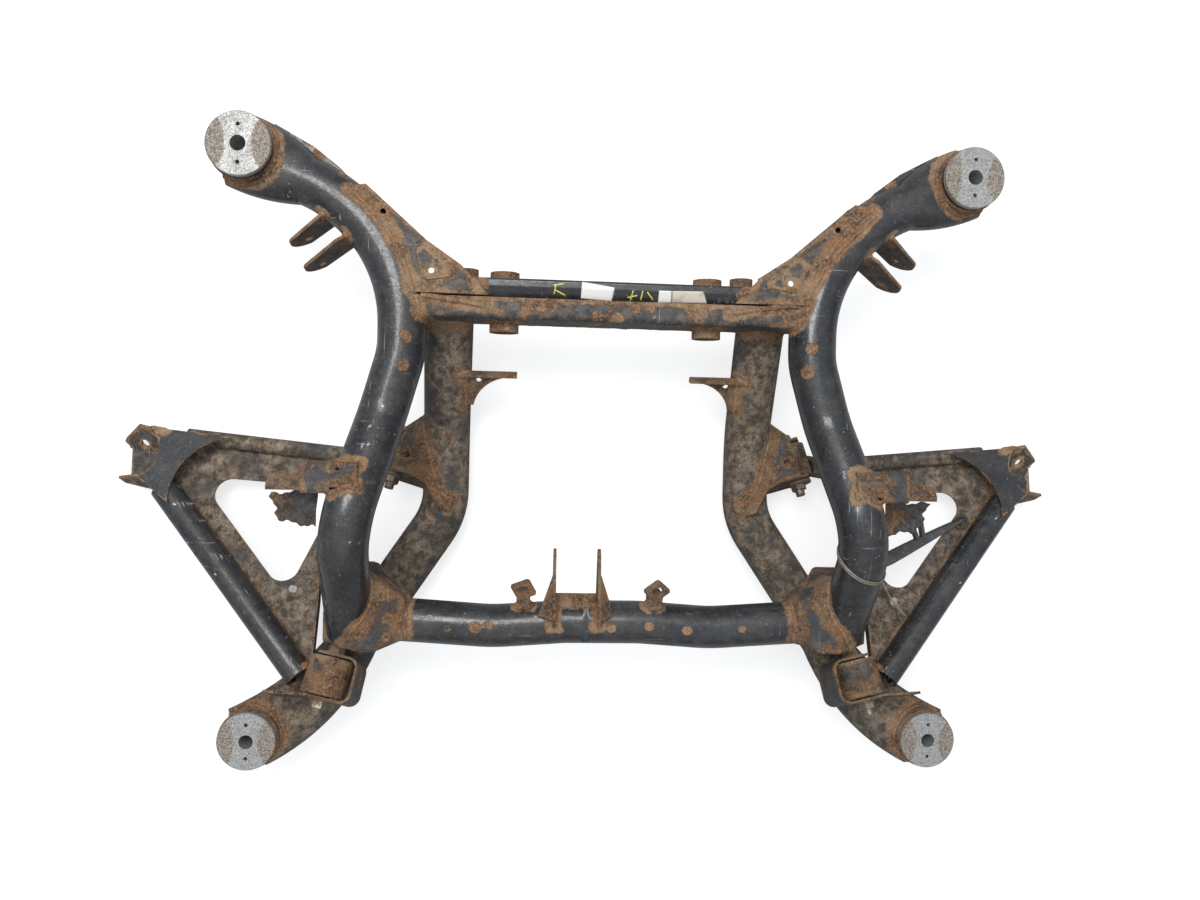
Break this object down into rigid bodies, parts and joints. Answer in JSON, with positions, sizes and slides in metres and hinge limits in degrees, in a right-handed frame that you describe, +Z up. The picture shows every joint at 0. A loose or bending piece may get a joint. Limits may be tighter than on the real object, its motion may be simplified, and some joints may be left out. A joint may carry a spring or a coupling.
{
  "type": "rear subframe",
  "caption": "Welded rear subframe of a large car: bent rails, crossmember, cross tube and body bushes, with both lower control arms on their pivots.",
  "frame": {"origin": "bottom centre of the box round the whole part, on the floor that the lower rails lie on", "axes": "+X to the part's right as seen from above with the front up, +Y to the front crossmember, +Z up"},
  "size_m": [1.436, 0.9069, 0.3053],
  "materials": {
    "black_paint": "worn gloss black paint",
    "grimy_paint": "black paint under brown road dirt",
    "arm_sheet": "pressed sheet, dirt and light rust",
    "rusty_weldment": "paint broken by orange-brown rust",
    "rusty_steel": "rusted bare steel",
    "bush_aluminium": "machined face, brown stains at both sides",
    "bush_rubber": "dull black, dusty",
    "fastener_steel": "plated, rust bloom"
  },
  "bodies": {
    "frame": {"upper_rail_left": "black_paint", "upper_rail_right": "black_paint", "lower_rail_left": "grimy_paint", "lower_rail_right": "grimy_paint", "crossmember_gusset_left": "black_paint", "crossmember_gusset_right": "black_paint", "rear_corner_left": "rusty_weldment", "rear_corner_right": "rusty_weldment", "cam_bracket_left": "rusty_weldment", "cam_bracket_right": "rusty_weldment", "rear_bracket_left": "rusty_weldment", "rear_bracket_right": "rusty_weldment", "link_bracket_left": "grimy_paint", "link_bracket_right": "grimy_paint", "hose_bracket_left": "rusty_weldment", "hose_bracket_right": "rusty_weldment", "rail_shelf_left": "rusty_weldment", "rail_shelf_right": "rusty_weldment", "front_bush_housing_left": "rusty_steel", "front_bush_housing_right": "rusty_steel", "rear_bush_housing_left": "rusty_steel", "rear_bush_housing_right": "rusty_steel", "front_bush_core_left": "bush_aluminium", "front_bush_core_right": "bush_aluminium", "rear_bush_core_left": "bush_aluminium", "rear_bush_core_right": "bush_aluminium", "crossmember_front": "black_paint", "crossmember_rear": "black_paint", "diff_sleeves": "rusty_steel", "crossmember_collars": "rusty_steel", "rear_cross_tube": "black_paint", "rear_mount": "rusty_weldment", "rear_tabs": "rusty_weldment", "pivot_sleeves": "fastener_steel", "cam_bolts": "fastener_steel", "cam_nuts": "fastener_steel", "cam_washers": "fastener_steel", "rear_pivot_bolts": "fastener_steel", "rear_pivot_nuts": "fastener_steel", "rear_pivot_washers": "fastener_steel", "front_bush_rubbers": "bush_rubber", "rear_bush_rubbers": "bush_rubber"},
    "left_arm": {"arm_pan_left": "arm_sheet", "arm_tube_left": "black_paint", "arm_bridge_left": "arm_sheet", "arm_clevis_left": "arm_sheet", "arm_front_eye_left": "rusty_steel", "arm_rear_eye_left": "rusty_steel", "arm_front_rubber_left": "bush_rubber", "arm_rear_rubber_left": "bush_rubber"},
    "right_arm": {"arm_pan_right": "arm_sheet", "arm_tube_right": "black_paint", "arm_bridge_right": "arm_sheet", "arm_clevis_right": "arm_sheet", "arm_front_eye_right": "rusty_steel", "arm_rear_eye_right": "rusty_steel", "arm_front_rubber_right": "bush_rubber", "arm_rear_rubber_right": "bush_rubber"}
  },
  "joints": [
    {"name": "left_arm_swing", "type": "hinge", "parent": "frame", "child": "left_arm", "pos_m": [-0.307, 0.005, 0.042], "axis": [0.2248, 0.9125, -0.3418], "range_deg": [-12, 12], "stiffness_Nm_per_rad": 200, "springref_deg": 3.44},
    {"name": "right_arm_swing", "type": "hinge", "parent": "frame", "child": "right_arm", "pos_m": [0.307, 0.005, 0.042], "axis": [0.2248, -0.9125, 0.3418], "range_deg": [-12, 12], "stiffness_Nm_per_rad": 200, "springref_deg": 3.44}
  ]
}
